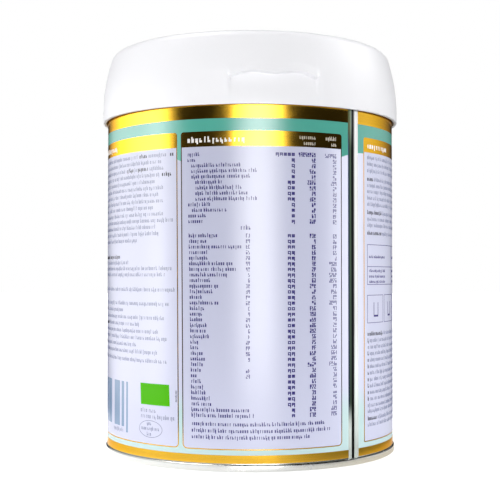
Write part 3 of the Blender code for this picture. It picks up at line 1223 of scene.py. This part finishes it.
class TIN_OT_side_rows(bpy.types.Operator):
    """Print the side panels' rows as abstract strokes"""

    bl_idname = "tin.side_rows"
    bl_label = "Side rows"

    # The rows by the emblems and under the bars, as (left, right, height, size).
    SMALL = [(-49.1, -39.8, 22.2, 1.3), (-49.1, -30.8, 19.8, 1.3), (-45.4, -42.1, 17.0, 1.1)]
    SMALL += [(-49.0, -38.3, 14.9, 1.1), (-45.4, -42.4, 12.7, 1.1), (-72.4, -61.5, 12.4, 1.2)]

    def execute(self, context):
        rng = random.Random(5)
        stroke = stroke_width() * 0.8
        marks = Marks("side_rows", "grey", rng)
        bolds = Marks("side_leads", "dark", rng)
        left = left_entries()
        for edge, entries in ((-93.0, left), (55.0, right_entries(rng)), (233.0, left)):
            print_column(marks, bolds, edge, entries, 1.22, stroke)
        for start, end, height, size in self.SMALL:
            marks.row(start, end, height, size, stroke, (2, 6))
        # A short row that stands upright beside the green field.
        for index in range(9):
            low = 26.6 + 0.52 * index
            bolds.stamp(-30.9 + rng.uniform(0.0, 0.3), -30.1, low, low + 0.24)
        marks.make()
        bolds.make()
        return {"FINISHED"}


class TIN_OT_boxes(bpy.types.Operator):
    """Print the right panel's ruled boxes, and plain upright bars on the left"""

    bl_idname = "tin.boxes"
    bl_label = "Boxes and bars"

    LEFT, RIGHT = 54.8, 116.0
    TABLE_LOW, TABLE_MIDDLE, TABLE_HIGH = 72.9, 80.3, 89.6
    CARD_LOW, CARD_HIGH, CARD_WIDE, CARD_STEP = 57.1, 68.7, 14.0, 15.4
    LINE = 0.22
    # Each bar is (left, right, lower end).
    BARS = ((-86.0, -82.6, 14.1), (-81.4, -75.4, 14.1), (-71.4, -65.4, 14.1))
    BARS += ((-63.7, -61.5, 14.1), (-59.6, -58.3, 11.9))
    BARS_TOP = 32.8

    def execute(self, context):
        rng = random.Random(3)
        lines = Marks("ruled_lines", "navy", rng)
        line = self.LINE
        lines.box(self.LEFT, self.RIGHT, self.TABLE_LOW, self.TABLE_HIGH, line)
        lines.bar(self.LEFT, self.RIGHT, self.TABLE_MIDDLE, self.TABLE_MIDDLE + line)
        for x in (82.0, 99.0):
            lines.stamp(x, x + line, self.TABLE_LOW + line, self.TABLE_HIGH - line)
        for height in (84.4, 78.6, 76.3, 74.1):
            for start, end in ((56.2, 72.0), (84.0, 92.0), (101.0, 110.0)):
                lines.row(start, end, height, 0.9, stroke_width() * 0.9, (4, 9))
        for index in range(4):
            start = self.LEFT + self.CARD_STEP * index
            lines.box(start, start + self.CARD_WIDE, self.CARD_LOW, self.CARD_HIGH, line)
            cup = start + 5.0
            lines.bar(cup, cup + 4.0, 59.6, 60.4)
            lines.stamp(cup, cup + 0.4, 60.4, 65.6)
            lines.stamp(cup + 3.6, cup + 4.0, 60.4, 65.6)
        lines.make()
        bars = Marks("pale_bars", "mist", rng)
        for left, right, low in self.BARS:
            bars.bar(left, right, low, self.BARS_TOP)
        bars.make()
        return {"FINISHED"}


class TIN_OT_emblems(bpy.types.Operator):
    """Print the plain green field and the bare oval under it"""

    bl_idname = "tin.emblems"
    bl_label = "Plain emblems"

    FIELD = (-49.4 * MM, -33.8 * MM, 24.6 * MM, 33.2 * MM)
    FIELD_LEAN = 0.045
    OVAL = (-43.6 * MM, 0.0, 14.9 * MM)
    OVAL_SIZE = (6.5 * MM, 3.45 * MM, 1.0)
    OVAL_LINE = 0.2 * MM

    def execute(self, context):
        field = flat_sheet("green_field", *self.FIELD)
        cut_columns(field)
        for vert in field.data.vertices:
            vert.co.x += (self.FIELD[3] - vert.co.z) * self.FIELD_LEAN
        wrap_sheet(field, MARK_LIFT, "green")
        deselect()
        upright = (math.pi / 2, 0, 0)
        bpy.ops.mesh.primitive_circle_add(
            vertices=72, radius=1.0, fill_type="NGON", location=self.OVAL, rotation=upright
        )
        ring = bpy.context.object
        call_it(ring, "oval_line")
        ring.scale = self.OVAL_SIZE
        bpy.ops.object.transform_apply(location=True, rotation=True, scale=True)
        with editing(ring):
            bpy.ops.mesh.inset(thickness=self.OVAL_LINE)
            bpy.ops.mesh.delete(type="FACE")
        cut_columns(ring)
        wrap_sheet(ring, MARK_LIFT, "grey")
        return {"FINISHED"}


# Stage

CAMERA_DISTANCE = 479.6 * MM
EYE_HEIGHT = 77.0 * MM
EYE_PITCH = 1.34
LENS = 76.6

# Ends of the names of what mirrors a darker room on its right side.
DARK = ("_frame", "_top", "_foot", "base_seam", "floor")
PRINTED = ("wall", "side_seam", "_frame", "_top", "_foot", "_white", "_field", "_rows")
PRINTED += ("headings", "_leads", "_lines", "_bars", "oval_line", "floor")
NOT_LID = (*PRINTED, "base_seam")
NOT_BASE = (*PRINTED, "lid")
# Each softbox is (name, first and last degree round the tin, degrees up, height,
# radiance, shares of its width that fade out at each end, what it is kept off).
SOFTBOXES = (
    ("Front softbox", -19.0, 31.0, 3.0, 0.60, 9.0, (0.48, 0.46), ()),
    ("Lid softbox", -30.0, 62.0, 40.0, 0.60, 0.85, (0.25, 0.25), NOT_LID),
    ("Foot softbox", -150.0, -20.0, 30.0, 2.40, 0.75, (0.15, 0.15), NOT_BASE),
    ("Left softbox", -158.0, -57.0, 3.0, 0.66, 4.9, (0.82, 0.25), ("base_seam",)),
    ("Left wing", -92.0, -46.0, 3.0, 0.66, 2.1, (0.45, 0.35), DARK),
    ("Right softbox", 56.0, 104.0, 3.0, 0.60, 4.8, (0.4, 0.4), (*DARK, "_field", "_lid")),
    ("Right wing", 84.0, 160.0, 3.0, 0.66, 0.95, (0.12, 0.75), ()),
    ("High right softbox", 82.0, 118.0, 36.0, 0.80, 5.4, (0.20, 0.20), DARK),
)
LIGHT_DISTANCE = 1.3
HEIGHT_FADE = 0.12
AIM = Vector((0.0, 0.0, 80.0 * MM))
SUN_TURN = -120.0
SUN_RISE = 68.0
SUN_STRENGTH = 1.6
SUN_SPREAD = 28.0
TABLE_EDGE = 0.135
FLOOR_SEEN = 0.95
# How bright the floor glows in a mirror, a painted reflection: beside the tin, then
# farther out in front of it, and to its right, where the low value is a painted
# shadow of the tin.
FLOOR_PAINTED_REFLECTION = (0.56, 0.38, 0.04)
# A painted warm tint in the floor's reflection to the tin's right.
FLOOR_PAINTED_WARMTH = (1.0, 0.88, 0.68)
# Painted bounce light: the floor near the tin glows for diffuse rays.
FLOOR_PAINTED_BOUNCE = 0.8
WHITE = (1.0, 1.0, 1.0)


class TIN_OT_stage(bpy.types.Operator):
    """Set up the pale floor, the soft lights and the camera"""

    bl_idname = "tin.stage"
    bl_label = "Stage"

    def execute(self, context):
        self.make_floor()
        self.make_lights()
        self.make_world()
        self.make_camera()
        context.scene.view_settings.view_transform = "Standard"
        return {"FINISHED"}

    def make_floor(self):
        deselect()
        bpy.ops.mesh.primitive_grid_add(x_subdivisions=8, y_subdivisions=8, size=8.0)
        floor = bpy.context.object
        floor.name = "floor"
        ground, tree, shader = new_material("Floor")
        shader.inputs["Base Color"].default_value = (0.82, 0.82, 0.82, 1.0)
        shader.inputs["Roughness"].default_value = 0.9
        path = add_node(tree, "ShaderNodeLightPath").outputs
        place = object_place(tree)
        far = add_node(tree, "ShaderNodeVectorMath", {0: place}, operation="LENGTH")
        far = far.outputs["Value"]
        # The floor glows with painted light: a painted reflection near the tin, a painted shadow of the
        # tin to its right with a warm tint there, and painted bounce light near the tin.
        beside, front, right = FLOOR_PAINTED_REFLECTION
        painted_shadow_side = soft_step(tree, split_place(tree, place)[0], 15.0 * MM, 62.0 * MM)
        outer = maths(tree, "MULTIPLY_ADD", painted_shadow_side, right - front, front)
        away = soft_step(tree, far, 74.0 * MM, 88.0 * MM)
        lower = maths(tree, "SUBTRACT", outer, beside)
        mirrored = maths(tree, "MULTIPLY_ADD", away, lower, beside)
        beyond = soft_step(tree, far, TABLE_EDGE, TABLE_EDGE + 0.05)
        bounced = maths(tree, "MULTIPLY", path["Is Diffuse Ray"], FLOOR_PAINTED_BOUNCE)
        glow = maths(tree, "MULTIPLY", bounced, maths(tree, "SUBTRACT", 1.0, beyond))
        glow = maths(tree, "MULTIPLY_ADD", path["Is Glossy Ray"], mirrored, glow)
        glow = maths(tree, "MULTIPLY_ADD", path["Is Camera Ray"], FLOOR_SEEN, glow)
        warmth = maths(tree, "MULTIPLY", painted_shadow_side, path["Is Glossy Ray"])
        gone = maths(tree, "MULTIPLY", beyond, path["Is Glossy Ray"])
        feed(shader, Emission_Color=mix_colour(tree, warmth, WHITE, FLOOR_PAINTED_WARMTH))
        feed(shader, Emission_Strength=glow, Alpha=maths(tree, "SUBTRACT", 1.0, gone))
        floor.data.materials.append(ground)

    def make_lights(self):
        for name, first, last, rise, height, radiance, fades, spared in SOFTBOXES:
            data = bpy.data.lights.new(name, "AREA")
            width = 2 * LIGHT_DISTANCE * math.tan(math.radians(last - first) / 2)
            data.shape = "RECTANGLE"
            data.size = width
            data.size_y = height
            data.energy = radiance * math.pi * width * height
            self.soften(data, fades)
            light = self.add_light(name, data, (first + last) / 2, rise, LIGHT_DISTANCE)
            light.visible_camera = False
            if spared:
                self.keep_off(light, spared)
        data = bpy.data.lights.new("Overhead", "SUN")
        data.energy = SUN_STRENGTH
        data.angle = math.radians(SUN_SPREAD)
        self.add_light("Overhead", data, SUN_TURN, SUN_RISE, 1.0)

    def keep_off(self, light, spared):
        """Keeps a light off the pieces whose names end so."""
        lit = bpy.data.collections.new(light.name)
        for obj in bpy.context.scene.objects:
            if obj.type == "MESH" and not obj.name.endswith(spared):
                lit.objects.link(obj)
        light.light_linking.receiver_collection = lit

    def soften(self, data, fades):
        """Fades a softbox out towards its four edges."""
        data.use_nodes = True
        tree = data.node_tree
        spot = add_node(tree, "ShaderNodeNewGeometry").outputs["Parametric"]
        place = split_place(tree, spot)
        strength = 1.0
        for side, (low, high) in ((0, fades), (1, (HEIGHT_FADE, HEIGHT_FADE))):
            for edge, full in ((0.0, low), (1.0, 1.0 - high)):
                step = soft_step(tree, place[side], edge, full)
                strength = maths(tree, "MULTIPLY", step, strength)
        feed(tree.nodes["Emission"], Strength=strength)

    def add_light(self, name, data, turn, rise, distance):
        """A light that faces the tin from so many degrees round and up."""
        light = bpy.data.objects.new(name, data)
        around, up = math.radians(turn), math.radians(rise)
        level = math.cos(up)
        away = Vector((math.sin(around) * level, -math.cos(around) * level, math.sin(up)))
        light.location = AIM + away * distance
        light.rotation_euler = away.to_track_quat("Z", "Y").to_euler()
        bpy.context.scene.collection.objects.link(light)
        return light

    def make_world(self):
        world = bpy.data.worlds.new("Studio")
        world.use_nodes = True
        bpy.context.scene.world = world
        tree = world.node_tree
        seen = add_node(tree, "ShaderNodeLightPath").outputs["Is Camera Ray"]
        feed(tree.nodes["Background"], Color=mix_colour(tree, seen, (0.02, 0.02, 0.022), WHITE))

    def make_camera(self):
        data = bpy.data.cameras.new("Camera")
        data.lens = LENS
        data.sensor_width = 36.0
        camera = bpy.data.objects.new("Camera", data)
        camera.location = (0.0, -CAMERA_DISTANCE, EYE_HEIGHT)
        camera.rotation_euler = (math.radians(90.0 + EYE_PITCH), 0.0, 0.0)
        bpy.context.scene.collection.objects.link(camera)
        bpy.context.scene.camera = camera


class TIN_PT_panel(bpy.types.Panel):
    """Lists the steps that make the tin"""

    bl_idname = "TIN_PT_panel"
    bl_label = "Powder Tin"
    bl_space_type = "VIEW_3D"
    bl_region_type = "UI"
    bl_category = "Tin"

    def draw(self, context):
        for group in (sizes(), print_sizes(), lid_sizes(), colours()):
            for key in group.__annotations__:
                self.layout.prop(group, key)
        for step in STEPS:
            self.layout.operator(step.bl_idname)


STEPS = (
    TIN_OT_wall,
    TIN_OT_seam,
    TIN_OT_base,
    TIN_OT_lid,
    TIN_OT_bands,
    TIN_OT_panels,
    TIN_OT_headings,
    TIN_OT_table,
    TIN_OT_side_rows,
    TIN_OT_boxes,
    TIN_OT_emblems,
    TIN_OT_stage,
)
GROUPS = {
    "tin_sizes": TinSizes,
    "tin_print": PrintSizes,
    "tin_lid": LidSizes,
    "tin_colours": TinColours,
}


def register():
    for name, group in GROUPS.items():
        bpy.utils.register_class(group)
        setattr(bpy.types.Scene, name, PointerProperty(type=group))
    for step in (*STEPS, TIN_PT_panel):
        bpy.utils.register_class(step)


def unregister():
    for step in (TIN_PT_panel, *reversed(STEPS)):
        bpy.utils.unregister_class(step)
    for name, group in GROUPS.items():
        delattr(bpy.types.Scene, name)
        bpy.utils.unregister_class(group)


def main():
    register()
    for step in STEPS:
        group, name = step.bl_idname.split(".")
        getattr(getattr(bpy.ops, group), name)()


if __name__ == "__main__":
    main()
